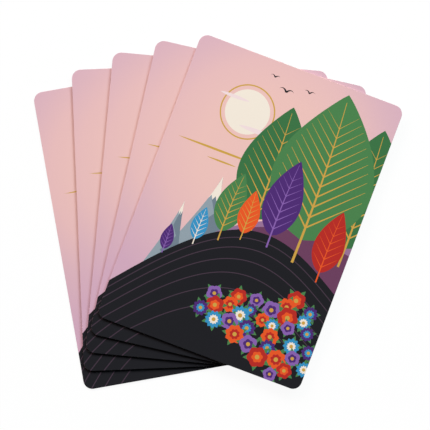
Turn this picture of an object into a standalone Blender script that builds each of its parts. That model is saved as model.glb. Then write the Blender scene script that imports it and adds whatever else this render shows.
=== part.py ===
"""Five playing cards spread in a fan, lying face down. Metres, +Z up.

Every card is a laminate: a printed back sheet on top, a thin opaque glue core and a printed face
sheet below, all die-cut to one outline with round corners. The cards lie on each other and turn
about one shared fan pivot. The origin is the middle of the fan's box, on the table.
"""

import math

import bmesh
import bpy
from mathutils import Matrix, Vector

# Card, as cut from the printed sheet
CARD_WIDTH = 0.0630
CARD_HEIGHT = 0.0880
CORNER_RADIUS = 0.00265
CORNER_SEGMENTS = 14
EDGE_ROLL = 0.00003  # the cutting die rolls the outer rim of both sheets over by this much
EDGE_ROLL_SEGMENTS = 2

# Card, through its thickness
BACK_SHEET_THICKNESS = 0.00013
CORE_THICKNESS = 0.00002
FACE_SHEET_THICKNESS = 0.00013
GLUE_LINE = 0.00001  # clearance between the core and either sheet

# Fan
CARD_COUNT = 5
AIR_GAP = 0.00015  # air held between two cards that lie loosely on each other
BOTTOM_CARD_TURN = math.radians(10.0)  # counter-clockwise, seen from above
FAN_STEP = math.radians(7.65)  # each card lies this much further clockwise than the one below
PIVOT_RIGHT_OF_MIDDLE = 0.0105  # from a card's upright middle line
PIVOT_BELOW_EDGE = 0.0023  # from a card's lower edge

# Sizes that follow
CORE_BOTTOM = FACE_SHEET_THICKNESS + GLUE_LINE
BACK_SHEET_BOTTOM = CORE_BOTTOM + CORE_THICKNESS + GLUE_LINE
CARD_THICKNESS = BACK_SHEET_BOTTOM + BACK_SHEET_THICKNESS
CARD_PITCH = CARD_THICKNESS + AIR_GAP
CARD_CENTRE = Vector((-PIVOT_RIGHT_OF_MIDDLE, PIVOT_BELOW_EDGE + CARD_HEIGHT / 2, 0.0))  # from the pivot


def srgb(hex_colour):
    """Turn a hex colour into the linear red, green, blue and alpha that a shader takes."""
    parts = [int(hex_colour[i : i + 2], 16) / 255 for i in (1, 3, 5)]
    return [c / 12.92 if c <= 0.04045 else ((c + 0.055) / 1.055) ** 2.4 for c in parts] + [1.0]


def make_material(name, hex_colour, roughness):
    """Make a plain, non-metallic Principled material."""
    material = bpy.data.materials.new(name)
    material.use_nodes = True
    shader = material.node_tree.nodes["Principled BSDF"]
    shader.inputs["Base Color"].default_value = srgb(hex_colour)
    shader.inputs["Roughness"].default_value = roughness
    shader.inputs["Metallic"].default_value = 0.0
    material.diffuse_color = srgb(hex_colour)
    return material


def corner_centres():
    """Return the middles of a card's four corner arcs, counter-clockwise from the upper right."""
    half_width = CARD_WIDTH / 2 - CORNER_RADIUS
    half_height = CARD_HEIGHT / 2 - CORNER_RADIUS
    return [Vector((half_width * x, half_height * y, 0.0)) for x, y in ((1, 1), (-1, 1), (-1, -1), (1, -1))]


def card_outline():
    """Return the die-cut outline round a card's middle: four straight sides and four corner arcs."""
    points = []
    for quarter, centre in enumerate(corner_centres()):
        for step in range(CORNER_SEGMENTS + 1):
            angle = (quarter + step / CORNER_SEGMENTS) * math.pi / 2
            points.append(centre + CORNER_RADIUS * Vector((math.cos(angle), math.sin(angle), 0.0)))
    return points


def make_layer(name, material, thickness, rolled_rim=None):
    """Extrude the card outline up from its own floor into one layer of a card.

    rolled_rim is "top" or "bottom" for a layer whose rim on that side the die rolls over.
    """
    mesh = bpy.data.meshes.new(name)
    bm = bmesh.new()
    bottom = bm.faces.new([bm.verts.new(point) for point in card_outline()])
    raised = bmesh.ops.extrude_face_region(bm, geom=[bottom], use_keep_orig=True)
    raised_verts = [item for item in raised["geom"] if isinstance(item, bmesh.types.BMVert)]
    bmesh.ops.translate(bm, verts=raised_verts, vec=(0.0, 0.0, thickness))
    bmesh.ops.recalc_face_normals(bm, faces=bm.faces)
    if rolled_rim:
        up = 1.0 if rolled_rim == "top" else -1.0
        rim = [edge for face in bm.faces if face.normal.z * up > 0.5 for edge in face.edges]
        bmesh.ops.bevel(
            bm,
            geom=rim,
            offset=EDGE_ROLL,
            segments=EDGE_ROLL_SEGMENTS,
            profile=0.5,
            affect="EDGES",
            clamp_overlap=True,
        )
    bm.to_mesh(mesh)
    bm.free()
    mesh.materials.append(material)
    return bpy.data.objects.new(name, mesh)


def fan_middle():
    """Return the middle of the whole fan's box, seen from above, measured from the fan pivot."""
    arcs = []
    for number in range(CARD_COUNT):
        turn = Matrix.Rotation(BOTTOM_CARD_TURN - number * FAN_STEP, 3, "Z")
        arcs += [turn @ (CARD_CENTRE + centre) for centre in corner_centres()]
    return Vector([(min(arc[i] for arc in arcs) + max(arc[i] for arc in arcs)) / 2 for i in (0, 1)] + [0.0])


def make_card(number, pivot, materials, collection):
    """Make one card's three layers, hung on the empty that marks its place on the fan pivot."""
    layers = (
        ("face_sheet", 0.0, FACE_SHEET_THICKNESS, "bottom"),
        ("core", CORE_BOTTOM, CORE_THICKNESS, None),
        ("back_sheet", BACK_SHEET_BOTTOM, BACK_SHEET_THICKNESS, "top"),
    )
    for layer, floor, thickness, rolled_rim in layers:
        piece = make_layer(f"card_{number}_{layer}", materials[layer], thickness, rolled_rim)
        piece.parent = pivot
        piece.location = CARD_CENTRE + Vector((0.0, 0.0, floor))
        collection.objects.link(piece)


def make_fan():
    """Build the fan from the table up: each card's pivot is carried by the card below."""
    collection = bpy.data.collections.new("playing_card_fan")
    bpy.context.scene.collection.children.link(collection)
    materials = {
        "face_sheet": make_material("coated_face_print", "#EFEBE4", 0.5),
        "core": make_material("opaque_glue_core", "#26242A", 0.8),
        "back_sheet": make_material("coated_back_print", "#E7BEBE", 0.5),
    }
    carrier = None
    for number in range(1, CARD_COUNT + 1):
        pivot = bpy.data.objects.new(f"card_{number}_pivot", None)
        collection.objects.link(pivot)
        if carrier is None:
            pivot.location = -fan_middle()
            pivot.rotation_euler.z = BOTTOM_CARD_TURN
        else:
            pivot.parent = carrier
            pivot.location.z = CARD_PITCH
            pivot.rotation_euler.z = -FAN_STEP
        make_card(number, pivot, materials, collection)
        carrier = pivot


for old in list(bpy.data.objects):
    bpy.data.objects.remove(old, do_unlink=True)
make_fan()
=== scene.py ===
"""Looks of five playing cards in a fan: printed sheets, dark glue cores, studio and camera.

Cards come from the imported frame, in metres. Drawings are made in millimetres from a sheet's lower left
corner, seen from its printed side. They are then cut into the sheet's surface, with faces for each ink.
"""

import logging
import math
from collections.abc import Callable, Iterable, Mapping, Sequence
from dataclasses import dataclass, field
from enum import Enum
from functools import cache
from typing import Any, ClassVar

import bpy
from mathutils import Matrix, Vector
from mathutils.geometry import delaunay_2d_cdt


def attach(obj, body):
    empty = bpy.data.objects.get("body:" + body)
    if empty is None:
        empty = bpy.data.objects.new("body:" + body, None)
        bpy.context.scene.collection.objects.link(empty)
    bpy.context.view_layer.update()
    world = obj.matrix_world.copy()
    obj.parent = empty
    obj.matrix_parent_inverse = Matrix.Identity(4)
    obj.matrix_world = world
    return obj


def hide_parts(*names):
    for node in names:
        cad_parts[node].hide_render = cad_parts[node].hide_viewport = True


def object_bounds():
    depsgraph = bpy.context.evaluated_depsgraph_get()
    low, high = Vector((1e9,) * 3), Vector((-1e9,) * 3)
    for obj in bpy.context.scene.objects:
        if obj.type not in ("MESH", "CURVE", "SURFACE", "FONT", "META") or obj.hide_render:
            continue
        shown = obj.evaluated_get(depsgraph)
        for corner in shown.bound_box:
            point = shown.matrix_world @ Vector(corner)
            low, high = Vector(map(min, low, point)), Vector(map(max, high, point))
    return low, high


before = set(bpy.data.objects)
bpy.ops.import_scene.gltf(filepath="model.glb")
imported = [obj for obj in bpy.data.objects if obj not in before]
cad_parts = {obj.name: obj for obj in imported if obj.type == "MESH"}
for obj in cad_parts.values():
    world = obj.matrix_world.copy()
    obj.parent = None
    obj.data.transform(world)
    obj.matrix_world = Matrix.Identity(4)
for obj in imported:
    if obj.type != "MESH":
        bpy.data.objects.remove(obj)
CAD_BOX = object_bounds()

LOG = logging.getLogger("cards")
MM = 0.001
HAIR = 1e-4  # millimetres; print points closer than this count as one
TOUCH = 1e-6  # metres; packed points closer than this are at one height or on one edge
BLEED = 2.0  # millimetres by which a hill runs past the sheet's edges, where it is cut off
LAYER = 0.01  # height that puts one ink of a motif over another; it only orders them
PRINT_MAP = "print"  # UV map of a printed sheet, where one unit is the sheet's height
GOLDEN_ANGLE = math.pi * (3.0 - math.sqrt(5.0))
GOLDEN_SHARE = 0.618

Outline = Sequence[Vector]


class Ink(Enum):
    """The inks of both prints, each with its sRGB colour."""

    DUSK = "#E9BDBE"
    BLANK = "#F3EFE8"
    NIGHT = "#232327"
    FURROW = "#4A3B48"
    PLUM = "#6E4260"
    MAUVE = "#9A7398"
    LEAF = "#4D824F"
    DEEP_LEAF = "#3E7347"
    GOLD = "#CFA24A"
    PURPLE = "#513075"
    VIOLET = "#8A63AE"
    RED = "#B8302A"
    ORANGE = "#E95A2B"
    BLUE = "#3C93C4"
    SLATE = "#93A1AB"
    DEEP_SLATE = "#73828F"
    CREAM = "#F4E8DA"
    CLOUD = "#F2DCDD"

    @property
    def wide(self) -> bool:
        """Whether the ink covers wide areas, where its film is never quite even."""
        return self in (Ink.NIGHT, Ink.LEAF, Ink.DEEP_LEAF, Ink.BLANK, Ink.SLATE, Ink.PLUM)


class Side(Enum):
    """The two printed sides of a card."""

    BACK = "back"
    FACE = "face"


class Suit(Enum):
    """The four traditional suits."""

    SPADE = "spade"
    HEART = "heart"
    CLUB = "club"
    DIAMOND = "diamond"

    @property
    def ink(self) -> Ink:
        """Ink of the suit's pips."""
        return Ink.RED if self in (Suit.HEART, Suit.DIAMOND) else Ink.NIGHT


def linear(hex_colour: str) -> tuple[float, float, float, float]:
    """Turn an sRGB hex colour into linear red, green, blue and alpha.

    Args:
        hex_colour: Colour such as "#4D824F".

    Returns:
        The colour as a shader takes it.
    """
    parts = [int(hex_colour[i : i + 2], 16) / 255 for i in (1, 3, 5)]
    red, green, blue = (c / 12.92 if c <= 0.04045 else ((c + 0.055) / 1.055) ** 2.4 for c in parts)
    return red, green, blue, 1.0


def add_node(
    tree: bpy.types.NodeTree,
    kind: str,
    settings: Mapping[str, Any] | None = None,
    inputs: Mapping[str | int, Any] | None = None,
) -> bpy.types.Node:
    """Add a node with its settings, values and links.

    Args:
        tree: Shader or geometry tree that gets the node.
        kind: Type name of the node.
        settings: Properties of the node itself.
        inputs: Value or output socket for each input, by name or number.

    Returns:
        The new node.
    """
    node = tree.nodes.new(kind)
    for name, value in (settings or {}).items():
        setattr(node, name, value)
    for key, value in (inputs or {}).items():
        if isinstance(value, bpy.types.NodeSocket):
            tree.links.new(value, node.inputs[key])
        else:
            node.inputs[key].default_value = value
    return node


@dataclass(frozen=True)
class Finish:
    """A surface of the cards: a shader with a fine relief and an uneven gloss.

    Attributes:
        name: Material name.
        colour: sRGB colour of the surface.
        roughness: Lowest and highest roughness, which wander over the surface.
        specular: Specular level; a porous or matted surface has less than a polished one.
        grain_mm: Size of the relief's grain.
        relief_mm: Height of the relief.
        mottle: Share by which the colour wanders to either side.
        patch: Size of a patch of even gloss, in grains.
    """

    name: str
    colour: str
    roughness: tuple[float, float]
    specular: float
    grain_mm: float
    relief_mm: float
    mottle: float = 0.0
    patch: float = 7.0

    def material(self) -> bpy.types.Material:
        """Return the finish's material, made on first use."""
        return bpy.data.materials.get(self.name) or self.make()

    def make(self) -> bpy.types.Material:
        """Make the material: relief and gloss from noise, then the colour.

        Returns:
            The new material.
        """
        material = bpy.data.materials.new(self.name)
        material.use_nodes = True
        material.diffuse_color = linear(self.colour)
        tree = material.node_tree
        shader = tree.nodes["Principled BSDF"]
        shader.inputs["Specular IOR Level"].default_value = self.specular
        place = add_node(tree, "ShaderNodeTexCoord").outputs["Object"]
        grain = add_node(
            tree,
            "ShaderNodeTexNoise",
            inputs={"Vector": place, "Scale": 1 / (self.grain_mm * MM), "Detail": 3.0},
        ).outputs["Fac"]
        bump = add_node(
            tree,
            "ShaderNodeBump",
            inputs={"Height": grain, "Strength": 1.0, "Distance": self.relief_mm * MM},
        )
        tree.links.new(bump.outputs["Normal"], shader.inputs["Normal"])
        patches = add_node(
            tree,
            "ShaderNodeTexNoise",
            inputs={"Vector": place, "Scale": 1 / (self.patch * self.grain_mm * MM), "Detail": 2.0},
        ).outputs["Fac"]
        low, high = self.roughness
        gloss = add_node(
            tree, "ShaderNodeMapRange", inputs={"Value": patches, "To Min": low, "To Max": high}
        )
        tree.links.new(gloss.outputs["Result"], shader.inputs["Roughness"])
        self.paint(tree, shader, grain)
        return material

    def paint(self, tree: bpy.types.NodeTree, shader: bpy.types.Node, grain: bpy.types.NodeSocket) -> None:
        """Set the colour, plain or with a slight mottle.

        Args:
            tree: Material's tree.
            shader: Its Principled shader.
            grain: Noise that the mottle follows.
        """
        colour = linear(self.colour)
        if not self.mottle:
            shader.inputs["Base Color"].default_value = colour
            return
        thin, thick = ([c * (1 + sign * self.mottle) for c in colour[:3]] + [1.0] for sign in (1, -1))
        # Inputs 6 and 7 and output 2 are the node's colours
        mixed = add_node(tree, "ShaderNodeMix", {"data_type": "RGBA"}, {0: grain, 6: thin, 7: thick})
        tree.links.new(mixed.outputs[2], shader.inputs["Base Color"])


@dataclass(frozen=True)
class DuskGround(Finish):
    """The back's ground: offset tints under the coat, blended from peach in the middle to lilac outside.

    Attributes:
        glow_mm: Middle of the peach glow, from the sheet's lower left corner.
        tints: Distance from that middle in millimetres and colour there, in order.
        drift_mm: How far a tint drifts to either side.
        sheet_mm: Height of the sheet, which is one unit of its UV map.
    """

    glow_mm: tuple[float, float] = (30.0, 60.0)
    tints: tuple[tuple[float, str], ...] = (
        (19.0, "#EEC2BC"),
        (29.0, "#E9BDBD"),
        (37.0, "#DEB5BF"),
        (50.0, "#D4ABC0"),
    )
    drift_mm: float = 0.6
    sheet_mm: float = 88.0

    def paint(self, tree: bpy.types.NodeTree, shader: bpy.types.Node, grain: bpy.types.NodeSocket) -> None:
        """Blend the tints by the distance from the glow's middle.

        Args:
            tree: Material's tree.
            shader: Its Principled shader.
            grain: Noise that lets the tints drift a little.
        """
        reach = self.tints[-1][0]
        place = add_node(tree, "ShaderNodeUVMap", {"uv_map": PRINT_MAP}).outputs["UV"]
        middle = Vector((*self.glow_mm, 0.0)) / self.sheet_mm
        distance = add_node(
            tree, "ShaderNodeVectorMath", {"operation": "DISTANCE"}, {0: place, 1: tuple(middle)}
        ).outputs["Value"]
        most = self.drift_mm / self.sheet_mm
        drift = add_node(
            tree, "ShaderNodeMapRange", inputs={"Value": grain, "To Min": -most, "To Max": most}
        ).outputs["Result"]
        drifted = add_node(tree, "ShaderNodeMath", {"operation": "ADD"}, {0: distance, 1: drift}).outputs[0]
        share = add_node(
            tree, "ShaderNodeMath", {"operation": "MULTIPLY"}, {0: drifted, 1: self.sheet_mm / reach}
        ).outputs[0]
        blend = add_node(tree, "ShaderNodeValToRGB", inputs={"Fac": share})
        stops = blend.color_ramp.elements
        while len(stops) < len(self.tints):
            stops.new(1.0)
        for stop, (at, colour) in zip(stops, self.tints, strict=True):
            stop.position = at / reach
            stop.color = linear(colour)
        tree.links.new(blend.outputs["Color"], shader.inputs["Base Color"])


# Matt varnish over ink: almost no gloss, so the colours stay deep, and the paper's tooth shows faintly.
# The tooth is about 0.1 mm on a real card and is drawn coarser, so that it shows at all.
MATT_COAT: Mapping[str, Any] = {
    "roughness": (0.50, 0.60),
    "specular": 0.01,
    "grain_mm": 0.5,
    "relief_mm": 0.0012,
}
FILM_MOTTLE = 0.05  # share by which a wide film of ink wanders in colour
# Cut edge of a paper sheet: bare fibres, dull. Its grey-brown is far darker than bare paper. A little of
# that is grey from handling; the rest is painted shade, which keeps the edges that face the low lamps from
# glowing white and dims the light they throw onto the card below.
PAPER_EDGE_PAINTED_SHADE = Finish(
    "die_cut_paper_edge",
    "#8A8378",
    roughness=(0.8, 0.95),
    specular=0.1,
    grain_mm=0.12,
    relief_mm=0.006,
    mottle=0.12,
)
# Pigmented paste between the sheets: dark, opaque and dull where the die cut it.
DARK_PASTE = Finish(
    "dark_paste_core",
    "#2B292E",
    roughness=(0.75, 0.9),
    specular=0.25,
    grain_mm=0.15,
    relief_mm=0.004,
    mottle=0.15,
)


@cache
def coated_ink(ink: Ink) -> Finish:
    """Return the finish of one printed ink under the coat.

    Args:
        ink: Ink to print.

    Returns:
        Its finish; wide areas get a mottle, as ink films do.
    """
    if ink is Ink.DUSK:
        return DuskGround("coated_dusk_tint", ink.value, **MATT_COAT)
    mottle = FILM_MOTTLE if ink.wide else 0.0
    return Finish(f"coated_{ink.name.lower()}_ink", ink.value, mottle=mottle, **MATT_COAT)


@dataclass(frozen=True)
class Shape:
    """One closed printed area.

    Attributes:
        outline: Corners in millimetres, counter-clockwise.
        ink: Ink that fills it.
        height: Order among shapes made together; a higher one covers a lower one.
    """

    outline: tuple[Vector, ...]
    ink: Ink
    height: float = 0.0


@dataclass(frozen=True)
class Placing:
    """Where a stamp goes.

    Attributes:
        at: Its point, in millimetres.
        turn: Its turn, in radians.
        size: Its scale.
        height: Its printing height.
    """

    at: Vector
    turn: float = 0.0
    size: float = 1.0
    height: float = 0.0


def straight(length: float, steps: int) -> list[Vector]:
    """Return points on a line from the origin along +X, one more than its steps."""
    return [Vector((length * i / steps, 0.0)) for i in range(steps + 1)]


def bezier(controls: Sequence[Vector], steps: int) -> list[Vector]:
    """Return points of a Bezier curve.

    Args:
        controls: Its control points.
        steps: Number of stretches.

    Returns:
        One point more than there are stretches.
    """
    points = []
    for step in range(steps + 1):
        rest = list(controls)
        while len(rest) > 1:
            rest = [a.lerp(b, step / steps) for a, b in zip(rest, rest[1:])]
        points.append(rest[0])
    return points


def disc(middle: Vector, radius: float, sides: int) -> tuple[Vector, ...]:
    """Return a circle's outline.

    Args:
        middle: Its middle.
        radius: Its radius.
        sides: Number of straight stretches.

    Returns:
        Points round the circle.
    """
    turns = (math.tau * side / sides for side in range(sides))
    return tuple(middle + radius * Vector((math.cos(turn), math.sin(turn))) for turn in turns)


def ribbon(path: Sequence[Vector], width: Callable[[float], float]) -> tuple[Vector, ...]:
    """Return the outline of a band that follows a path.

    Args:
        path: Middle line of the band.
        width: Full width at a share of the path, from 0 to 1.

    Returns:
        Outline, counter-clockwise, with one point where the width is nothing.
    """
    right, left = [], []
    last = len(path) - 1
    for i, point in enumerate(path):
        along = (path[min(i + 1, last)] - path[max(i - 1, 0)]).normalized()
        aside = Vector((along.y, -along.x)) * width(i / last) / 2
        right.append(point + aside)
        if aside.length > HAIR:
            left.append(point - aside)
    return tuple(right + left[::-1])


def lens(share: float) -> float:
    """Return the width profile of a spindle, pointed at both ends, for a share from 0 to 1."""
    return math.sin(math.pi * share)


def linked(thing: bpy.types.Object) -> bpy.types.Object:
    """Link an object to the scene and return it."""
    bpy.context.scene.collection.objects.link(thing)
    return thing


def flat_object(name: str, outlines: Iterable[Outline]) -> bpy.types.Object:
    """Make a scratch object of flat faces.

    Args:
        name: Its name.
        outlines: Outline of each face.

    Returns:
        The object, linked to the scene so that it is evaluated.
    """
    points: list[tuple[float, float, float]] = []
    faces = []
    for outline in outlines:
        faces.append(range(len(points), len(points) + len(outline)))
        points += [(p.x, p.y, 0.0) for p in outline]
    mesh = bpy.data.meshes.new(name)
    mesh.from_pydata(points, [], faces)
    return linked(bpy.data.objects.new(name, mesh))


def printed_shapes(host: bpy.types.Object, ink: Ink) -> list[Shape]:
    """Read a flat object's faces, as its modifiers leave them, and remove the object.

    Args:
        host: Object in millimetres, with printing order as height.
        ink: Ink for all its faces.

    Returns:
        One shape for each face, lowest first.
    """
    graph = bpy.context.evaluated_depsgraph_get()
    mesh = bpy.data.meshes.new_from_object(host.evaluated_get(graph), depsgraph=graph)
    bpy.data.objects.remove(host)
    shapes = []
    for polygon in mesh.polygons:
        corners = [mesh.vertices[i].co for i in polygon.vertices]
        flat = tuple(corner.to_2d() for corner in corners)
        shapes.append(Shape(flat if polygon.normal.z >= 0 else flat[::-1], ink, corners[0].z))
    bpy.data.meshes.remove(mesh)
    return sorted(shapes, key=lambda shape: shape.height)


class NodeRule:
    """A Geometry Nodes tree with named inputs that lays out flat shapes."""

    def __init__(self, name: str, inputs: Mapping[str, str]) -> None:
        """Make the tree with its inputs.

        Args:
            name: Name of the tree.
            inputs: Socket type for each named input, after the geometry.
        """
        self.tree = bpy.data.node_groups.new(name, "GeometryNodeTree")
        face = self.tree.interface
        face.new_socket("Geometry", in_out="INPUT", socket_type="NodeSocketGeometry")
        self.sockets = {
            title: face.new_socket(title, in_out="INPUT", socket_type=kind).identifier
            for title, kind in inputs.items()
        }
        face.new_socket("Geometry", in_out="OUTPUT", socket_type="NodeSocketGeometry")
        self.given = add_node(self.tree, "NodeGroupInput").outputs

    def close(self, copies: Mapping[str, Any], turn: bpy.types.NodeSocket) -> None:
        """End the tree: turn the copies in the plane, make them real and ink them.

        Args:
            copies: Inputs for the copies: their points, what is copied and any scale.
            turn: Turn of each copy, in radians.
        """
        spin = add_node(self.tree, "ShaderNodeCombineXYZ", inputs={"Z": turn})
        turned = add_node(self.tree, "FunctionNodeEulerToRotation", inputs={0: spin.outputs[0]})
        laid = add_node(
            self.tree,
            "GeometryNodeInstanceOnPoints",
            inputs={**copies, "Rotation": turned.outputs[0]},
        )
        real = add_node(self.tree, "GeometryNodeRealizeInstances", inputs={0: laid.outputs[0]})
        inked = add_node(
            self.tree, "GeometryNodeSetMaterial", inputs={0: real.outputs[0], "Material": self.given["Ink"]}
        )
        add_node(self.tree, "NodeGroupOutput", inputs={0: inked.outputs[0]})

    def run(self, host: bpy.types.Object, ink: Ink, values: Mapping[str, Any]) -> list[Shape]:
        """Run the tree on an object and remove that object.

        Args:
            host: Object whose geometry goes in.
            ink: Ink of everything that comes out.
            values: Value for each other named input.

        Returns:
            The flat shapes that came out, lowest first.
        """
        modifier = host.modifiers.new(self.tree.name, "NODES")
        modifier.node_group = self.tree
        for title, value in {**values, "Ink": coated_ink(ink).material()}.items():
            modifier[self.sockets[title]] = value
        return printed_shapes(host, ink)


class RingRule(NodeRule):
    """Repeats a petal round a flower's heart."""

    def __init__(self) -> None:
        """Build the tree: one copy of the petal for each step round the circle."""
        super().__init__("petal_ring", {"Petals": "NodeSocketInt", "Ink": "NodeSocketMaterial"})
        tree, count = self.tree, self.given["Petals"]
        spots = add_node(tree, "GeometryNodeMeshLine", inputs={"Count": count, "Offset": (0.0, 0.0, 0.0)})
        step = add_node(tree, "ShaderNodeMath", {"operation": "DIVIDE"}, {0: math.tau, 1: count})
        index = add_node(tree, "GeometryNodeInputIndex")
        turn = add_node(
            tree, "ShaderNodeMath", {"operation": "MULTIPLY"}, {0: index.outputs[0], 1: step.outputs[0]}
        )
        self.close({"Points": spots.outputs[0], "Instance": self.given["Geometry"]}, turn.outputs[0])

    def petals(self, petal: Outline, count: int, ink: Ink) -> list[Outline]:
        """Return the outlines of a ring of petals.

        Args:
            petal: Outline of the petal that points along +X.
            count: How many stand round the heart.
            ink: Their ink.

        Returns:
            One outline for each petal.
        """
        ring = self.run(flat_object("petal", [petal]), ink, {"Petals": count})
        return [shape.outline for shape in ring]


class StampRule(NodeRule):
    """Puts a stamp down at many places, each with its own turn, size and height."""

    def __init__(self) -> None:
        """Build the tree: one copy of the stamp on each point, by the points' attributes."""
        super().__init__("stamp_on_points", {"Stamp": "NodeSocketObject", "Ink": "NodeSocketMaterial"})
        tree = self.tree
        stamp = add_node(tree, "GeometryNodeObjectInfo", inputs={"Object": self.given["Stamp"]})
        turn, size = (
            add_node(tree, "GeometryNodeInputNamedAttribute", {"data_type": "FLOAT"}, {"Name": title})
            for title in ("turn", "size")
        )
        copies = {
            "Points": self.given["Geometry"],
            "Instance": stamp.outputs["Geometry"],
            "Scale": size.outputs["Attribute"],
        }
        self.close(copies, turn.outputs["Attribute"])

    def stamped(
        self, outlines: Iterable[Outline], ink: Ink, places: Sequence[Placing], height: float = 0.0
    ) -> list[Shape]:
        """Return copies of a stamp.

        Args:
            outlines: Outlines of the stamp round its own middle.
            ink: Ink of the stamp.
            places: Where the copies go.
            height: Height of this stamp over the places' own heights.

        Returns:
            The copies' shapes, lowest first.
        """
        mesh = bpy.data.meshes.new("places")
        mesh.from_pydata([(p.at.x, p.at.y, p.height + height) for p in places], [], [])
        for title in ("turn", "size"):
            values = mesh.attributes.new(title, "FLOAT", "POINT").data
            values.foreach_set("value", [getattr(p, title) for p in places])
        stamp = flat_object("stamp", outlines)
        shapes = self.run(linked(bpy.data.objects.new("places", mesh)), ink, {"Stamp": stamp})
        bpy.data.objects.remove(stamp)
        return shapes


@dataclass(frozen=True)
class Press:
    """The two layout rules that the motifs share.

    Attributes:
        ring: Rule for petals.
        stamp: Rule for everything else that repeats.
    """

    ring: RingRule = field(default_factory=RingRule)
    stamp: StampRule = field(default_factory=StampRule)


@dataclass(frozen=True)
class Hill:
    """A rolling hill with a swelling ridge and furrows that follow it.

    Attributes:
        left: Ridge height at the sheet's left edge, in millimetres.
        right: Ridge height at its right edge.
        swell: Height of the ridge's waves.
        waves: Number of waves across the sheet.
        ink: Ink of the hill.
        furrows: Depth of each furrow under the ridge.
        furrow_width: Width of a furrow.
    """

    STRETCHES: ClassVar[int] = 48  # straight stretches in the ridge

    left: float
    right: float
    swell: float
    waves: float
    ink: Ink
    furrows: tuple[float, ...] = ()
    furrow_width: float = 0.26

    def ridge(self, x: float, width: float) -> float:
        """Find the ridge's height.

        Args:
            x: Distance from the sheet's left edge.
            width: Width of the sheet.

        Returns:
            The height there.
        """
        share = x / width
        wave = math.sin(math.tau * (self.waves * share))
        return self.left + (self.right - self.left) * share + self.swell * wave

    def line(self, width: float, depth: float = 0.0) -> list[Vector]:
        """Return the ridge as points, or a line under it.

        Args:
            width: Width of the sheet.
            depth: How far under the ridge the line lies.

        Returns:
            Points from left to right, a little past both edges.
        """
        across = width + 2 * BLEED
        xs = [-BLEED + across * i / self.STRETCHES for i in range(self.STRETCHES + 1)]
        return [Vector((x, self.ridge(x, width) - depth)) for x in xs]

    def shapes(self, width: float) -> list[Shape]:
        """Draw the hill's body and its furrows.

        Args:
            width: Width of the sheet.

        Returns:
            Shapes, lowest first.
        """
        ridge = self.line(width)
        below = [Vector((end.x, -BLEED)) for end in (ridge[0], ridge[-1])]
        lines = [ribbon(self.line(width, depth), lambda share: self.furrow_width) for depth in self.furrows]
        body = Shape(tuple(below + ridge[::-1]), self.ink)
        return [body, *(Shape(line, Ink.FURROW) for line in lines)]


@dataclass(frozen=True)
class Mountain:
    """A peak with hollow flanks, a shaded side and a snow cap.

    Attributes:
        peak: Its top, in millimetres.
        foot: Half its width at the base.
        base: Height of the base.
        snow: How far down the cap reaches.
    """

    STRETCHES: ClassVar[int] = 10  # straight stretches in a flank
    HOLLOW: ClassVar[float] = 1.25  # how much the flanks curve in; 1 is straight
    GULLY_SWING: ClassVar[float] = 0.12  # sideways swing of the shade's edge, for each millimetre down
    GULLY_WAVE: ClassVar[float] = 9.0  # millimetres from one swing to the next
    TEETH: ClassVar[int] = 6  # straight stretches in the cap's ragged lower edge
    TOOTH: ClassVar[float] = 1.3  # height of its teeth, in millimetres

    peak: Vector
    foot: float
    base: float
    snow: float

    def flank(self, side: int, depth: float) -> Vector:
        """Return the flank's point at a depth under the peak, on the left (-1) or right (1) side."""
        share = depth / (self.peak.y - self.base)
        return self.peak + Vector((side * self.foot * share**self.HOLLOW, -depth))

    def shapes(self) -> list[Shape]:
        """Draw the mountain, its shaded side and its cap.

        Returns:
            Shapes, lowest first.
        """
        depth = self.peak.y - self.base
        steps = [depth * i / self.STRETCHES for i in range(self.STRETCHES + 1)]
        left = [self.flank(-1, d) for d in steps]
        right = [self.flank(1, d) for d in steps[:0:-1]]
        gully = [
            self.peak + Vector((self.GULLY_SWING * d * math.sin(math.tau * d / self.GULLY_WAVE), -d))
            for d in steps[1:]
        ]
        ends = [self.flank(side, self.snow) for side in (-1, 1)]
        teeth = [
            ends[0].lerp(ends[1], i / self.TEETH) + Vector((0.0, self.TOOTH * (i % 2)))
            for i in range(self.TEETH + 1)
        ]
        quarters = [self.snow * i / 4 for i in (1, 2, 3)]
        cap = [self.peak, *(self.flank(-1, d) for d in quarters), *teeth]
        cap += [self.flank(1, d) for d in reversed(quarters)]
        return [
            Shape(tuple(left + right), Ink.SLATE),
            Shape((self.peak, *gully, *right), Ink.DEEP_SLATE),
            Shape(tuple(cap), Ink.CREAM),
        ]


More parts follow.
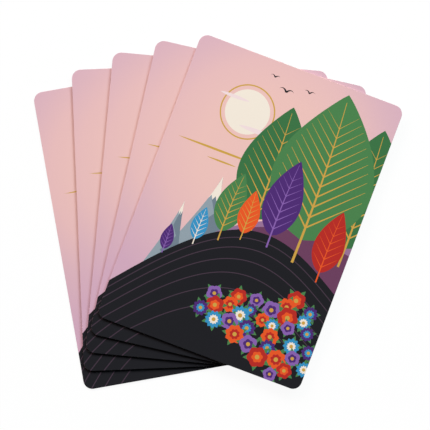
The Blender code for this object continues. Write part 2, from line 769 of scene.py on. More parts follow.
@dataclass(frozen=True)
class LeafTree:
    """A tree drawn as one upright leaf, with a stem, a midrib and side veins.

    Attributes:
        foot: Lower end of the stem, in millimetres.
        height: Height of the whole tree.
        breadth: Widest part of the leaf.
        bend: How far the tip leans to the right.
        ink: Ink of the leaf.
        vein_ink: Ink of stem, midrib and veins.
        veins: Number of veins on each side.
    """

    STRETCHES: ClassVar[int] = 40  # straight stretches in the spine, from the foot to the tip
    STEM: ClassVar[int] = 5  # of these, the bare stem's
    BLADE_SHARE: ClassVar[float] = 0.87  # share of the height that the blade takes
    BELLY: ClassVar[tuple[float, float]] = (-0.4, 0.55)  # the spine's control point, in bends and heights
    VEIN_SLOPE: ClassVar[float] = math.radians(46)  # angle between a vein and the midrib
    VEIN_BAND: ClassVar[tuple[float, float]] = (0.08, 0.74)  # start and extent of the veins on the blade
    VEIN_END: ClassVar[float] = 0.43  # share of the blade's width where a vein stops
    VEIN_STEP: ClassVar[float] = 0.05  # millimetres in which that end is looked for
    BLADE_FORM: ClassVar[tuple[float, float]] = (0.72, 0.9)  # powers: how low and how full the belly is
    STOUT: ClassVar[tuple[float, float]] = (0.16, 0.009)  # stem's thickness, and its growth with height
    STEM_TAPER: ClassVar[float] = 1.25  # width at the foot, in thicknesses; the midrib loses one of them
    VEIN_ROOT: ClassVar[float] = 1.3  # in thicknesses, for a vein as long as the leaf is broad
    VEIN_TAPER: ClassVar[float] = 0.8  # share of its width that a vein loses on the way out

    foot: Vector
    height: float
    breadth: float
    bend: float
    ink: Ink
    vein_ink: Ink
    veins: int

    def blade_width(self, share: float) -> float:
        """Return the leaf's width at a share of its spine: round below, pointed above."""
        low, full = self.BLADE_FORM
        return self.breadth * abs(lens(min(share, 1.0) ** low)) ** full

    def vein_reach(self, share: float) -> float:
        """Find how far a vein runs before it nears the blade's rim.

        Args:
            share: Share of the blade's spine where the vein starts.

        Returns:
            Its length, in millimetres.
        """
        reach = 0.0
        while True:
            above = share + reach * math.cos(self.VEIN_SLOPE) / (self.BLADE_SHARE * self.height)
            if reach * math.sin(self.VEIN_SLOPE) >= self.VEIN_END * self.blade_width(above):
                return reach
            reach += self.VEIN_STEP

    def vein_places(self, blade: Sequence[Vector]) -> list[Placing]:
        """Set the veins out in pairs, at even steps along the spine.

        Args:
            blade: Points of the blade's spine.

        Returns:
            Where each vein starts, with its turn and its length.
        """
        first, extent = self.VEIN_BAND
        places = []
        for number in range(self.veins):
            share = first + extent * number / self.veins
            stretches = share * (len(blade) - 1)
            i = int(stretches)
            along = blade[i + 1] - blade[i]
            start = blade[i] + along * (stretches - i)
            for side in (-1, 1):
                turn = math.atan2(along.y, along.x) + side * self.VEIN_SLOPE
                places.append(Placing(start, turn, self.vein_reach(share)))
        return places

    def shapes(self, press: Press) -> list[Shape]:
        """Draw the leaf, its stem and its veins.

        Args:
            press: Layout rules.

        Returns:
            Shapes, lowest first.
        """
        belly = self.foot + Vector((self.BELLY[0] * self.bend, self.BELLY[1] * self.height))
        tip = self.foot + Vector((self.bend, self.height))
        spine = bezier([self.foot, belly, tip], self.STRETCHES)
        blade = spine[self.STEM :]
        thick = self.STOUT[0] + self.STOUT[1] * self.height
        stem = ribbon(spine[: self.STRETCHES - 1], lambda share: thick * (self.STEM_TAPER - share))
        root = self.VEIN_ROOT * thick / self.breadth  # a vein's width, for each millimetre of its length
        vein = ribbon(straight(1.0, 1), lambda share: root * (1.0 - self.VEIN_TAPER * share))
        return [
            Shape(ribbon(blade, self.blade_width), self.ink),
            Shape(stem, self.vein_ink),
            *press.stamp.stamped([vein], self.vein_ink, self.vein_places(blade)),
        ]


@dataclass(frozen=True)
class FlowerKind:
    """One kind of flower: two rings of petals round a gold heart, on a few leaves.

    Attributes:
        petals: Number of petals in a ring.
        reach: Length of an outer petal, in millimetres.
        breadth: Width of an outer petal.
        ink: Ink of the outer petals.
        inner_ink: Ink of the inner ring.
    """

    LEAVES: ClassVar[int] = 5
    LEAF_REACH: ClassVar[float] = 1.35  # in lengths of an outer petal, as the next three are
    LEAF_BREADTH: ClassVar[float] = 0.5
    INNER_REACH: ClassVar[float] = 0.55
    HEART: ClassVar[float] = 0.22  # radius
    INNER_BREADTH: ClassVar[float] = 0.5  # in widths of an outer petal
    PETAL_FORM: ClassVar[tuple[float, float]] = (1.5, 0.75)  # powers: how far out and how full it swells

    petals: int
    reach: float
    breadth: float
    ink: Ink
    inner_ink: Ink

    def petal(self, reach: float, breadth: float) -> tuple[Vector, ...]:
        """Return one petal along +X, broad outside and narrow at the heart."""
        out, full = self.PETAL_FORM
        return ribbon(straight(reach, 9), lambda share: breadth * abs(lens(share**out)) ** full)

    def shapes(self, press: Press, places: Sequence[Placing]) -> list[Shape]:
        """Draw the flower at each of its places.

        Args:
            press: Layout rules.
            places: Where flowers of this kind stand.

        Returns:
            Shapes with printing heights.
        """
        leaf = ribbon(
            straight(self.LEAF_REACH * self.reach, 8),
            lambda share: self.LEAF_BREADTH * self.reach * lens(share),
        )
        outer = self.petal(self.reach, self.breadth)
        inner = self.petal(self.INNER_REACH * self.reach, self.INNER_BREADTH * self.breadth)
        rings = (
            (leaf, self.LEAVES, Ink.LEAF),
            (outer, self.petals, self.ink),
            (inner, self.petals, self.inner_ink),
        )
        layers = [(press.ring.petals(*ring), ring[-1]) for ring in rings]
        layers.append(([disc(Vector((0.0, 0.0)), self.HEART * self.reach, 16)], Ink.GOLD))
        found = []
        for number, (outlines, ink) in enumerate(layers):
            found += press.stamp.stamped(outlines, ink, places, LAYER * number)
        return found


@dataclass(frozen=True)
class Meadow:
    """Clumps of mixed flowers, each set out in a spiral as seeds are in a head.

    Attributes:
        clumps: Middle of each clump in millimetres, its number of flowers and its spacing.
        kinds: The kinds of flower, taken in turn.
    """

    STRETCH: ClassVar[tuple[float, float]] = (1.25, 0.8)  # a clump is wider than it is high
    SIZES: ClassVar[tuple[float, float]] = (1.08, 0.32)  # largest flower's scale, and how much others lack
    START: ClassVar[float] = 0.4  # steps of the spiral before the first flower
    SPIN: ClassVar[float] = 0.7  # radians from one flower's turn to the next one's
    FRONT: ClassVar[float] = 100.0  # printing height at the sheet's lower edge

    clumps: tuple[tuple[Vector, int, float], ...]
    kinds: tuple[FlowerKind, ...]

    def places(self) -> dict[FlowerKind, list[Placing]]:
        """Set the flowers out.

        Returns:
            Places for each kind; a flower further down the sheet is printed over those behind it.
        """
        found: dict[FlowerKind, list[Placing]] = {kind: [] for kind in self.kinds}
        wide, high = self.STRETCH
        largest, less = self.SIZES
        for number, (middle, flowers, spacing) in enumerate(self.clumps):
            for k in range(flowers):
                away = spacing * math.sqrt(k + self.START)
                angle = GOLDEN_ANGLE * k + middle.x
                spot = middle + Vector((wide * away * math.cos(angle), high * away * math.sin(angle)))
                size = largest - less * ((k * GOLDEN_SHARE) % 1.0)
                kind = self.kinds[(k + 3 * (k // len(self.kinds)) + number) % len(self.kinds)]
                found[kind].append(Placing(spot, self.SPIN * k, size, self.FRONT - spot.y))
        return found

    def shapes(self, press: Press) -> list[Shape]:
        """Draw the flowers of every clump.

        Args:
            press: Layout rules.

        Returns:
            Shapes, those in front last.
        """
        found = []
        for kind, places in self.places().items():
            found += kind.shapes(press, places)
        return sorted(found, key=lambda shape: shape.height)


@dataclass(frozen=True)
class Sky:
    """A moon in a ring, bars of cloud and a few birds.

    Attributes:
        moon: Middle of the moon, in millimetres.
        radius: Radius of the moon.
        clouds: Middle, length, width and ink of each bar.
        birds: Place and wing span of each bird.
        ring: How far the ring's outer and inner edge lie outside the moon.
    """

    WING: ClassVar[tuple[tuple[float, float], ...]] = ((0.22, 0.34), (0.5, 0.12))  # curve and tip, in spans
    WING_ROOT: ClassVar[float] = 0.13  # width at the body, in spans
    CLOUD_STRETCHES: ClassVar[int] = 16
    CLOUD_FORM: ClassVar[float] = 0.6  # power: how full a bar stays towards its ends

    moon: Vector
    radius: float
    clouds: tuple[tuple[Vector, float, float, Ink], ...]
    birds: tuple[tuple[Vector, float], ...]
    ring: tuple[float, float] = (1.5, 1.1)

    def wing(self, body: Vector, span: float, side: int) -> Shape:
        """Draw one wing of a bird.

        Args:
            body: Place of the bird.
            span: Its wing span.
            side: -1 for the left wing and 1 for the right one.

        Returns:
            The wing, pointed at its tip.
        """
        bends = [body + Vector((side * x * span, y * span)) for x, y in self.WING]
        path = bezier([body, *bends], 10)
        return Shape(ribbon(path, lambda share: self.WING_ROOT * span * (1 - share)), Ink.NIGHT)

    def cloud(self, middle: Vector, length: float, width: float, ink: Ink) -> Shape:
        """Draw one bar of cloud.

        Args:
            middle: Its middle.
            length: Its length.
            width: Its widest part.
            ink: Its ink.

        Returns:
            The bar, pointed at both ends.
        """
        shares = [i / self.CLOUD_STRETCHES for i in range(self.CLOUD_STRETCHES + 1)]
        path = [middle + Vector((length * (share - 0.5), 0.0)) for share in shares]
        return Shape(ribbon(path, lambda share: width * abs(lens(share)) ** self.CLOUD_FORM), ink)

    def shapes(self) -> list[Shape]:
        """Draw everything in the sky.

        Returns:
            Shapes, lowest first.
        """
        outer, inner = self.ring
        return [
            Shape(disc(self.moon, self.radius + outer, 72), Ink.GOLD),
            Shape(disc(self.moon, self.radius + inner, 72), Ink.DUSK),
            Shape(disc(self.moon, self.radius, 64), Ink.CREAM),
            *(self.cloud(*bar) for bar in self.clouds),
            *(self.wing(*bird, side) for bird in self.birds for side in (-1, 1)),
        ]


@dataclass(frozen=True)
class GardenPrint:
    """The picture on the backs: leaf trees and flowers on dark hills, under a moon at dusk.

    Attributes:
        width: Width of the sheet, in millimetres.
        sky: What stands behind everything else.
        mountains: Peaks, the furthest first.
        back_hills: Hills behind the far trees, the furthest first.
        far_trees: Trees behind the front hill.
        front_hill: Dark hill that fills the lower part.
        near_trees: Trees on the front hill.
        meadow: Flowers on the front hill.
    """

    width: float
    sky: Sky = Sky(
        Vector((20.5, 71.0)),
        6.6,
        (
            (Vector((26.0, 66.6)), 13.0, 1.4, Ink.CLOUD),
            (Vector((15.5, 74.0)), 9.0, 1.0, Ink.CLOUD),
            (Vector((17.0, 57.6)), 26.0, 0.66, Ink.GOLD),
            (Vector((18.5, 54.8)), 9.0, 0.5, Ink.GOLD),
        ),
        ((Vector((29.0, 80.3)), 4.6), (Vector((35.5, 82.3)), 3.4), (Vector((24.5, 83.3)), 3.0)),
    )
    mountains: tuple[Mountain, ...] = (
        Mountain(Vector((20.5, 51.0)), 14.0, 14.0, 7.5),
        Mountain(Vector((12.5, 40.5)), 7.0, 14.0, 4.5),
    )
    back_hills: tuple[Hill, ...] = (
        Hill(8.0, 46.0, 13.5, 0.5, Ink.MAUVE),
        Hill(8.0, 42.0, 14.0, 0.5, Ink.PLUM),
    )
    far_trees: tuple[LeafTree, ...] = (
        LeafTree(Vector((61.0, 38.0)), 42.0, 22.0, -1.0, Ink.DEEP_LEAF, Ink.GOLD, 9),
        LeafTree(Vector((33.5, 37.0)), 40.0, 20.0, -0.8, Ink.DEEP_LEAF, Ink.GOLD, 9),
    )
    front_hill: Hill = Hill(11.0, 30.0, 18.0, 0.5, Ink.NIGHT, (2.4, 5.4, 9.0, 13.2, 18.0, 23.4))
    near_trees: tuple[LeafTree, ...] = (
        LeafTree(Vector((48.0, 34.5)), 51.5, 30.0, -1.5, Ink.LEAF, Ink.GOLD, 11),
        LeafTree(Vector((25.5, 33.0)), 21.0, 8.6, 0.8, Ink.LEAF, Ink.GOLD, 7),
        LeafTree(Vector((39.5, 36.0)), 27.0, 11.0, 0.8, Ink.PURPLE, Ink.VIOLET, 7),
        LeafTree(Vector((56.5, 31.5)), 22.0, 9.0, 0.6, Ink.RED, Ink.ORANGE, 6),
        LeafTree(Vector((31.5, 35.4)), 15.0, 6.2, -0.5, Ink.ORANGE, Ink.GOLD, 6),
        LeafTree(Vector((19.0, 29.4)), 11.5, 4.8, 0.2, Ink.BLUE, Ink.CREAM, 5),
        LeafTree(Vector((11.5, 23.9)), 9.0, 3.8, -0.2, Ink.PURPLE, Ink.VIOLET, 5),
    )
    meadow: Meadow = Meadow(
        (
            (Vector((54.0, 19.5)), 9, 2.3),
            (Vector((37.5, 15.0)), 13, 2.35),
            (Vector((54.5, 7.5)), 11, 2.5),
        ),
        (
            FlowerKind(6, 3.0, 2.6, Ink.RED, Ink.ORANGE),
            FlowerKind(11, 2.7, 1.25, Ink.BLUE, Ink.CREAM),
            FlowerKind(8, 2.8, 1.9, Ink.ORANGE, Ink.RED),
            FlowerKind(5, 2.7, 2.6, Ink.VIOLET, Ink.PURPLE),
            FlowerKind(10, 2.5, 1.3, Ink.PURPLE, Ink.BLUE),
        ),
    )

    def shapes(self, press: Press) -> list[Shape]:
        """Draw the whole picture.

        Args:
            press: Layout rules.

        Returns:
            Shapes in printing order.
        """
        found = self.sky.shapes()
        for mountain in self.mountains:
            found += mountain.shapes()
        for hill in self.back_hills:
            found += hill.shapes(self.width)
        for tree in self.far_trees:
            found += tree.shapes(press)
        found += self.front_hill.shapes(self.width)
        for tree in self.near_trees:
            found += tree.shapes(press)
        return found + self.meadow.shapes(press)


@dataclass(frozen=True)
class PipPrint:
    """A number card's face: pips in the usual rows, with a number and a small pip in two corners.

    Attributes:
        number: Value of the card, from 6 to 10.
        suit: Suit of the card.
        width: Width of the sheet, in millimetres.
        height: Height of the sheet.
        pip: Size of a pip, about its height.
        column: Distance of the outer columns from the sheet's middle line.
        margin: Distance of the first row from the sheet's upper edge.
        index: Places of number and small pip from the upper left corner, each with its size.
    """

    STALK: ClassVar[tuple[tuple[float, float], ...]] = (
        (-0.20, -0.52),
        (0.20, -0.52),
        (0.05, -0.34),
        (0.07, 0.08),  # its top fills the middle of a club, between the lobes
        (-0.07, 0.08),
        (-0.05, -0.34),
    )
    LOBES: ClassVar[tuple[tuple[float, float], ...]] = ((0.0, 0.27), (-0.245, -0.1), (0.245, -0.1))
    LOBE_RADIUS: ClassVar[float] = 0.235
    POINTS: ClassVar[tuple[tuple[float, float], ...]] = (
        (0.40, 0.0),
        (0.0, 0.52),
        (-0.40, 0.0),
        (0.0, -0.52),
    )
    POINT_PULL: ClassVar[float] = 0.44  # under half, which hollows a diamond's sides
    HEART_SCALE: ClassVar[float] = 0.030  # makes the heart's curve a little under one unit high
    HEART_RISE: ClassVar[float] = 0.08  # puts its middle near the origin
    SPADE_SQUASH: ClassVar[float] = 0.92  # height of a spade's leaf, in hearts

    number: int
    suit: Suit
    width: float
    height: float
    pip: float = 12.0
    column: float = 12.2
    margin: float = 17.0
    index: tuple[tuple[Vector, float], ...] = ((Vector((6.0, -7.6)), 9.0), (Vector((6.0, -15.2)), 5.2))

    def heart(self, sides: int = 40) -> list[Vector]:
        """Draw a heart by the usual sums of sines and cosines.

        Args:
            sides: Number of straight stretches.

        Returns:
            Outline, a little under one unit high, round its middle.
        """
        points = []
        for t in (math.tau * i / sides for i in range(sides)):
            wave = 13 * math.cos(t) - 5 * math.cos(2 * t) - 2 * math.cos(3 * t) - math.cos(4 * t)
            x = self.HEART_SCALE * 16 * math.sin(-t) ** 3
            points.append(Vector((x, self.HEART_SCALE * wave + self.HEART_RISE)))
        return points

    def suit_outlines(self) -> list[Outline]:
        """Draw the suit's sign.

        Returns:
            Its outlines, about one unit high, round its middle.
        """
        if self.suit is Suit.HEART:
            return [self.heart()]
        if self.suit is Suit.DIAMOND:
            corners = [Vector(p) for p in self.POINTS]
            sides = zip(corners, corners[1:] + corners[:1], strict=True)
            return [[p for a, b in sides for p in bezier([a, (a + b) * self.POINT_PULL, b], 6)[:-1]]]
        stalk = [Vector(p) for p in self.STALK]
        if self.suit is Suit.SPADE:
            leaf = [Vector((-p.x, self.HEART_RISE - self.SPADE_SQUASH * p.y)) for p in self.heart()]
            return [leaf, stalk]
        return [*(disc(Vector(p), self.LOBE_RADIUS, 28) for p in self.LOBES), stalk]

    def pip_places(self) -> list[Placing]:
        """Set the large pips out in the rows that the number asks for.

        Returns:
            Places of the pips, those of the lower half upside down.
        """
        outer = 0.5 * self.height - self.margin
        inner = outer / 3
        rows = (outer, inner, -inner, -outer) if self.number >= 9 else (outer, 0.0, -outer)
        middle_rows = {
            6: (),
            7: (outer / 2,),
            8: (outer / 2, -outer / 2),
            9: (0.0,),
            10: (2 * inner, -2 * inner),
        }
        spots = [(side * self.column, row) for row in rows for side in (-1, 1)]
        spots += [(0.0, row) for row in middle_rows[self.number]]
        centre = Vector((self.width / 2, self.height / 2))
        return [Placing(centre + Vector(s), 0.0 if s[1] >= 0 else math.pi, self.pip) for s in spots]

    def numeral(self) -> list[Outline]:
        """Draw the number.

        Returns:
            Its outlines, for a font size of 1 mm, round its middle.
        """
        text = bpy.data.curves.new("numeral", "FONT")
        text.body = str(self.number)
        text.align_x = "CENTER"
        text.align_y = "CENTER"
        host = linked(bpy.data.objects.new("numeral", text))
        return [shape.outline for shape in printed_shapes(host, self.suit.ink)]

    def shapes(self, press: Press) -> list[Shape]:
        """Draw the face.

        Args:
            press: Layout rules.

        Returns:
            Shapes in printing order.
        """
        ink, sign = self.suit.ink, self.suit_outlines()
        found = press.stamp.stamped(sign, ink, self.pip_places())
        centre = Vector((self.width / 2, self.height / 2))
        for side, turn in ((1, 0.0), (-1, math.pi)):
            corner = Vector((-self.width / 2, self.height / 2)) * side
            for outlines, (at, size) in zip((self.numeral(), sign), self.index, strict=True):
                place = Placing(centre + corner + side * at, turn, size)
                found += press.stamp.stamped(outlines, ink, [place])
        return found


@dataclass(frozen=True)
class CardPlace:
    """Where one sheet lies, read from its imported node, in metres.

    Attributes:
        middle: Its middle, seen from above.
        across: Direction of its width, to the right on the back.
        along: Direction of its height.
        width: Its width.
        height: Its height.
        corner: Radius of its corners.
        roll: How far the die rolled its printed rim over.
        low: Height of its lower side.
        high: Height of its upper side.
    """

    CORNER_STRETCHES: ClassVar[int] = 14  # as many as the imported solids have

    middle: Vector
    across: Vector
    along: Vector
    width: float
    height: float
    corner: float
    roll: float
    low: float
    high: float

    @classmethod
    def from_node(cls, node: str, side: Side) -> "CardPlace":
        """Measure a packed sheet.

        Args:
            node: Name of the sheet's node.
            side: Side that is printed, whose rim is rolled.

        Returns:
            Its place and sizes.
        """
        points = {tuple(round(c, 7) for c in v.co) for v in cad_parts[node].data.vertices}
        low, high = min(p[2] for p in points), max(p[2] for p in points)
        flat = [Vector(p[:2]) for p in {p[:2] for p in points}]
        middle = sum(flat, Vector((0.0, 0.0))) / len(flat)
        spread = [p - middle for p in flat]
        xx, yy, xy = (sum(p[i] * p[j] for p in spread) for i, j in ((0, 0), (1, 1), (0, 1)))
        lean = 0.5 * math.atan2(2 * xy, yy - xx)  # of the long axis, from +Y towards +X
        along = Vector((math.sin(lean), math.cos(lean)))
        across = Vector((along.y, -along.x))
        half_width = max(abs(p.dot(across)) for p in spread)
        half_height = max(abs(p.dot(along)) for p in spread)
        straight_half = max(abs(p.dot(across)) for p in spread if abs(p.dot(along)) > half_height - TOUCH)
        printed = high if side is Side.BACK else low
        rim = max(abs((Vector(p[:2]) - middle).dot(across)) for p in points if abs(p[2] - printed) < TOUCH)
        return cls(
            middle=middle,
            across=across,
            along=along,
            width=2 * half_width,
            height=2 * half_height,
            corner=half_width - straight_half,
            roll=half_width - rim,
            low=low,
            high=high,
        )

    def centre(self) -> Vector:
        """Return the sheet's middle, from its lower left corner."""
        return Vector((self.width / 2, self.height / 2))

    def straights(self) -> Vector:
        """Return half the length of the straight edges between the corners, across and along."""
        return Vector((self.width / 2 - self.corner, self.height / 2 - self.corner))

    def print_outline(self) -> list[Vector]:
        """Find the rim of the printed surface, inside the rolled edge.

        Returns:
            Points in millimetres from the lower left corner, counter-clockwise.
        """
        points = []
        half = self.straights()
        for quarter, (x, y) in enumerate(((1, 1), (-1, 1), (-1, -1), (1, -1))):
            for step in range(self.CORNER_STRETCHES + 1):
                turn = (quarter + step / self.CORNER_STRETCHES) * math.pi / 2
                arm = (self.corner - self.roll) * Vector((math.cos(turn), math.sin(turn)))
                points.append((Vector((x * half.x, y * half.y)) + arm + self.centre()) / MM)
        return points

    def outward(self, point: Vector) -> Vector:
        """Find the direction out of the sheet.

        Args:
            point: Point of its rim, in print millimetres.

        Returns:
            The direction there, one unit long.
        """
        from_middle = point * MM - self.centre()
        core = Vector([max(-h, min(h, c)) for h, c in zip(self.straights(), from_middle, strict=True)])
        return (from_middle - core).normalized()

    def world(self, point: Vector, depth: float, side: Side) -> Vector:
        """Turn a print point into the frame.

        Args:
            point: Point in print millimetres, seen from the printed side.
            depth: Depth under the printed surface, in metres.
            side: Printed side.

        Returns:
            The point in metres.
        """
        local = point * MM - self.centre()
        flip = 1 if side is Side.BACK else -1
        flat = self.middle + flip * local.x * self.across + local.y * self.along
        return Vector((*flat, self.high - depth if side is Side.BACK else self.low + depth))


class PrintPlate:
    """A drawing cut into the faces of one sheet, each face with the ink on top of it."""

    def __init__(self, outline: Outline, ground: Ink, shapes: Sequence[Shape]) -> None:
        """Cut the drawing.

        Args:
            outline: Rim of the printed surface, in millimetres.
            ground: Ink where no shape lies.
            shapes: Shapes in printing order.
        """
        points: list[Vector] = []
        areas = []
        for area in (outline, *(shape.outline for shape in shapes)):
            areas.append(list(range(len(points), len(points) + len(area))))
            points += area
        inks = [ground, *(shape.ink for shape in shapes)]
        inside_only, keep_sources = 1, True
        cut, _, faces, _, _, covers = delaunay_2d_cdt(points, [], areas, inside_only, HAIR, keep_sources)
        kept = [(face, inks[max(over)]) for face, over in zip(faces, covers, strict=True) if 0 in over]
        used = sorted({corner for face, _ in kept for corner in face})
        number = {corner: i for i, corner in enumerate(used)}
        self.points: list[Vector] = [Vector(cut[corner]) for corner in used]
        self.faces: list[tuple[list[int], Ink]] = [([number[c] for c in face], ink) for face, ink in kept]

    def rim(self) -> list[tuple[int, Ink]]:
        """Walk round the print's outer edges.

        Returns:
            Corner where each edge starts and ink of its face, in order.
        """
        edges = {}
        for corners, ink in self.faces:
            for a, b in zip(corners, corners[1:] + corners[:1], strict=True):
                edges[a, b] = ink
        outer = {a: (b, ink) for (a, b), ink in edges.items() if (b, a) not in edges}
        start = at = next(iter(outer))
        ordered = []
        while not ordered or at != start:
            following, ink = outer[at]
            ordered.append((at, ink))
            at = following
        return ordered


@dataclass
class PrintedSheet:
    """One printed sheet of a card: print on one side, rolled rim, cut edge and pasted side.

    Attributes:
        number: Number of the card, from the table up.
        side: Side of the card that the sheet makes.
        plate: Drawing cut for the sheet.
        piece: Its object, once built.
    """

    number: int
    side: Side
    plate: PrintPlate
    piece: bpy.types.Object | None = None

    @property
    def node(self) -> str:
        """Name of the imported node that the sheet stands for."""
        return f"card_{self.number}_{self.side.value}_sheet"

    def build(self) -> None:
        """Make the closed sheet: print, rolled rim, wall and pasted side."""
        place = CardPlace.from_node(self.node, self.side)
        rim = self.plate.rim()
        points, depths = list(self.plate.points), [0.0] * len(self.plate.points)
        faces = [(corners, coated_ink(ink)) for corners, ink in self.plate.faces]
        bends = (math.pi / 4, math.pi / 2)
        roll = [(place.roll * math.sin(a), place.roll * (1 - math.cos(a))) for a in bends]
        profile = [*roll, (place.roll, place.high - place.low)]  # outward and down from the print's rim
        upper = [corner for corner, _ in rim]
        for band, (out, down) in enumerate(profile):
            lower = list(range(len(points), len(points) + len(rim)))
            starts = [self.plate.points[corner] for corner, _ in rim]
            points += [start + place.outward(start) * out / MM for start in starts]
            depths += [down] * len(rim)
            for i, (_, ink) in enumerate(rim):
                j = (i + 1) % len(rim)
                # The rolled rim's outer band takes the darkened cut-paper finish instead of its ink:
                # painted shade that keeps the rim, tilted towards the low lamps, from showing a bright
                # line. The wall and the pasted side take the same finish.
                finish = coated_ink(ink) if band == 0 else PAPER_EDGE_PAINTED_SHADE
                faces.append(([upper[j], upper[i], lower[i], lower[j]], finish))
            upper = lower
        faces.append((upper[::-1], PAPER_EDGE_PAINTED_SHADE))
        mesh = bpy.data.meshes.new(f"card_{self.number}_{self.side.value}_print")
        corners = [place.world(p, depth, self.side) for p, depth in zip(points, depths, strict=True)]
        mesh.from_pydata(corners, [], [face for face, _ in faces])
        self.finish(mesh, [finish for _, finish in faces])
        uv = mesh.uv_layers.new(name=PRINT_MAP).data
        for loop in mesh.loops:
            uv[loop.index].uv = points[loop.vertex_index] * MM / place.height
        mesh.validate()
        self.piece = linked(bpy.data.objects.new(mesh.name, mesh))

    def finish(self, mesh: bpy.types.Mesh, finishes: Sequence[Finish]) -> None:
        """Give a mesh its materials.

        Args:
            mesh: Mesh of the sheet.
            finishes: Finish of each face.
        """
        order = {kind: i for i, kind in enumerate(dict.fromkeys(finishes))}
        for kind in order:
            mesh.materials.append(kind.material())
        mesh.polygons.foreach_set("material_index", [order[kind] for kind in finishes])

    def dress(self) -> None:
        """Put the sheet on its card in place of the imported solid."""
        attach(self.piece, f"card_{self.number}")
        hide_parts(self.node)


@dataclass
class CardFan:
    """The five cards: their prints, their cores and their order.

    Attributes:
        faces: Number and suit of each card, from the table up.
        sheets: The printed sheets, once built.
    """

    faces: tuple[tuple[int, Suit], ...] = (
        (6, Suit.HEART),
        (7, Suit.SPADE),
        (8, Suit.DIAMOND),
        (9, Suit.CLUB),
        (10, Suit.HEART),
    )
    sheets: list[PrintedSheet] = field(default_factory=list)

    def build(self) -> None:
        """Cut the plates, then build two printed sheets for each card."""
        press = Press()
        place = CardPlace.from_node("card_1_back_sheet", Side.BACK)
        width, height, rim = place.width / MM, place.height / MM, place.print_outline()
        garden = PrintPlate(rim, Ink.DUSK, GardenPrint(width).shapes(press))
        for number, (value, suit) in enumerate(self.faces, 1):
            pips = PrintPlate(rim, Ink.BLANK, PipPrint(value, suit, width, height).shapes(press))
            self.sheets.append(PrintedSheet(number, Side.BACK, garden))
            self.sheets.append(PrintedSheet(number, Side.FACE, pips))
        for sheet in self.sheets:
            sheet.build()

    def cores(self) -> list[bpy.types.Object]:
        """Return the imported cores, from the table up."""
        return [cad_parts[f"card_{number}_core"] for number in range(1, len(self.faces) + 1)]

    def dress(self) -> None:
        """Seat the sheets and finish the cores."""
        for sheet in self.sheets:
            sheet.dress()
        for core in self.cores():
            core.data.materials.clear()
            core.data.materials.append(DARK_PASTE.material())

    def pieces(self) -> list[bpy.types.Object]:
        """Return every piece of the fan, sheets first."""
        return [sheet.piece for sheet in self.sheets] + self.cores()


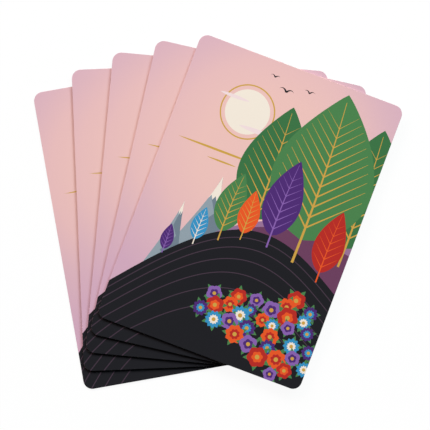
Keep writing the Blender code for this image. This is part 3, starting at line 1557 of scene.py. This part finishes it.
@dataclass
class Studio:
    """White table, an arc of low softboxes behind it, faint fill all round and a camera straight above.

    Attributes:
        photo_px: Side of the square photograph.
        px_per_mm: Its scale on the cards.
        origin_px: Where the frame's origin lies in it.
        lens_mm: A long lens, which shows a flat thing without convergence.
        clip: Nearest and furthest distance that the camera sees, in metres.
        arc_degrees: Directions of the arc's two ends, from +X towards +Y.
        arc_tints: Colours of the light at those ends, which together make white.
        arc_boxes: Number of softboxes.
        arc_elevation: Their height over the horizon, in degrees.
        arc_distance: Their distance, in metres.
        arc_share: Share of the light on the cards that they give; the fill gives the rest.
        table_half: Half the table's side, in metres.
        table_drop: Gap between table and lowest card, in metres, so that they don't coincide.
        table_glow: Share of the table's white that no shadow takes away, beside the cards.
        shade_reach: Distances from the origin, in metres, where shadows start to fade and are gone.
    """

    photo_px: int = 430
    px_per_mm: float = 3.4335
    origin_px: tuple[float, float] = (217.82, 212.28)
    lens_mm: float = 200.0
    clip: tuple[float, float] = (0.01, 10.0)
    arc_degrees: tuple[float, float] = (22.0, 150.0)
    arc_tints: tuple[str, str] = ("#BCE4F1", "#FADAC9")
    arc_boxes: int = 7
    arc_elevation: float = 25.4
    arc_distance: float = 2.5
    arc_share: float = 0.99
    table_half: float = 3.0
    table_drop: float = 0.02 * MM
    table_glow: float = 0.94
    shade_reach: tuple[float, float] = (0.06, 0.16)

    def build(self) -> None:
        """Make the table, the lights and the camera."""
        self.build_table()
        self.build_surround()
        self.build_softboxes()
        self.build_camera()

    def build_table(self) -> None:
        """Make a wide white floor that stays white to the camera and still takes the cards' shadow."""
        half, low = self.table_half, CAD_BOX[0].z - self.table_drop
        corners = [(-half, -half, low), (half, -half, low), (half, half, low), (-half, half, low)]
        mesh = bpy.data.meshes.new("table")
        mesh.from_pydata(corners, [], [(0, 1, 2, 3)])
        mesh.materials.append(self.table_material())
        linked(bpy.data.objects.new("table", mesh))

    def table_material(self) -> bpy.types.Material:
        """Make a matt white that shows pure white to the camera, less its shadows.

        Returns:
            The new material.
        """
        material = bpy.data.materials.new("matt_white_table")
        material.use_nodes = True
        tree = material.node_tree
        shader = tree.nodes["Principled BSDF"]
        shader.inputs["Base Color"].default_value = linear("#FFFFFF")
        shader.inputs["Roughness"].default_value = 0.9
        shader.inputs["Specular IOR Level"].default_value = 0.0
        white = add_node(tree, "ShaderNodeEmission", inputs={"Strength": 1.0})
        place = add_node(tree, "ShaderNodeTexCoord").outputs["Object"]
        away = add_node(tree, "ShaderNodeVectorMath", {"operation": "LENGTH"}, {0: place})
        near, far = self.shade_reach
        glow = add_node(
            tree,
            "ShaderNodeMapRange",
            {"interpolation_type": "SMOOTHSTEP"},
            {
                "Value": away.outputs["Value"],
                "From Min": near,
                "From Max": far,
                "To Min": self.table_glow,
                "To Max": 1.0,
            },
        ).outputs["Result"]
        share = add_node(tree, "ShaderNodeMath", {"operation": "MULTIPLY"}, {0: self.seen(tree), 1: glow})
        mixed = add_node(
            tree,
            "ShaderNodeMixShader",
            inputs={0: share.outputs[0], 1: shader.outputs[0], 2: white.outputs[0]},
        )
        tree.links.new(mixed.outputs[0], tree.nodes["Material Output"].inputs["Surface"])
        return material

    def seen(self, tree: bpy.types.NodeTree) -> bpy.types.NodeSocket:
        """Find the rays that show the background, straight, mirrored or through glass.

        Args:
            tree: Tree of the table or the world.

        Returns:
            Socket that is 1 for those rays and 0 for the rays that light the cards.
        """
        path = add_node(tree, "ShaderNodeLightPath").outputs
        seen = path["Is Camera Ray"]
        for kind in ("Is Glossy Ray", "Is Transmission Ray"):
            either = add_node(tree, "ShaderNodeMath", {"operation": "MAXIMUM"}, {0: seen, 1: path[kind]})
            seen = either.outputs[0]
        return seen

    def build_surround(self) -> None:
        """Make a white surround that shows as white and gives the cards only the fill's share of light."""
        world = bpy.data.worlds.new("studio")
        bpy.context.scene.world = world
        world.use_nodes = True
        tree = world.node_tree
        strength = add_node(
            tree,
            "ShaderNodeMath",
            {"operation": "MULTIPLY_ADD"},
            {0: self.seen(tree), 1: self.arc_share, 2: 1.0 - self.arc_share},
        )
        surround = tree.nodes["Background"]
        surround.inputs["Color"].default_value = linear("#FFFFFF")
        tree.links.new(strength.outputs[0], surround.inputs["Strength"])

    def build_softboxes(self) -> None:
        """Light the cards so that a matt white there comes out at about 1.

        The lamps are polarised, as for copying prints, so they put no glare on the coat.
        """
        first, last = self.arc_degrees
        step = math.radians(last - first) / self.arc_boxes
        elevation = math.radians(self.arc_elevation)
        cool, warm = (Vector(linear(tint)[:3]) for tint in self.arc_tints)
        share = self.arc_share / self.arc_boxes / (sum(cool.lerp(warm, 0.5)) / 3)
        for number in range(self.arc_boxes):
            lamp = bpy.data.lights.new(f"softbox_{number + 1}", "AREA")
            lamp.size = step * self.arc_distance  # they meet edge to edge
            lamp.color = cool.lerp(warm, (number + 0.5) / self.arc_boxes)
            lamp.energy = share * (math.pi * self.arc_distance) ** 2 / math.sin(elevation)
            azimuth = math.radians(first) + step * (number + 0.5)
            way = Vector((math.cos(azimuth), math.sin(azimuth), math.tan(elevation))).normalized()
            box = linked(bpy.data.objects.new(lamp.name, lamp))
            box.location = way * self.arc_distance
            box.rotation_euler = way.to_track_quat("Z", "Y").to_euler()
            box.visible_glossy = False

    def build_camera(self) -> None:
        """Put the camera straight above, framed as the photograph is."""
        middle = self.photo_px / 2
        target = Vector((middle - self.origin_px[0], self.origin_px[1] - middle)) / self.px_per_mm * MM
        camera = bpy.data.cameras.new("camera")
        camera.lens = self.lens_mm
        camera.clip_start, camera.clip_end = self.clip
        span = self.photo_px / self.px_per_mm * MM
        height = span * camera.lens / camera.sensor_width + CAD_BOX[1].z
        above = linked(bpy.data.objects.new("camera", camera))
        above.location = (target.x, target.y, height)
        bpy.context.scene.camera = above


def main() -> None:
    """Build and dress the fan, report each piece's faces and build the studio."""
    logging.basicConfig(level=logging.INFO, format="%(name)s: %(message)s")
    bpy.context.scene.view_settings.view_transform = "Standard"
    fan = CardFan()
    fan.build()
    fan.dress()
    for piece in fan.pieces():
        LOG.info("%s: %d faces", piece.name, len(piece.data.polygons))
    Studio().build()


if __name__ == "__main__":
    main()
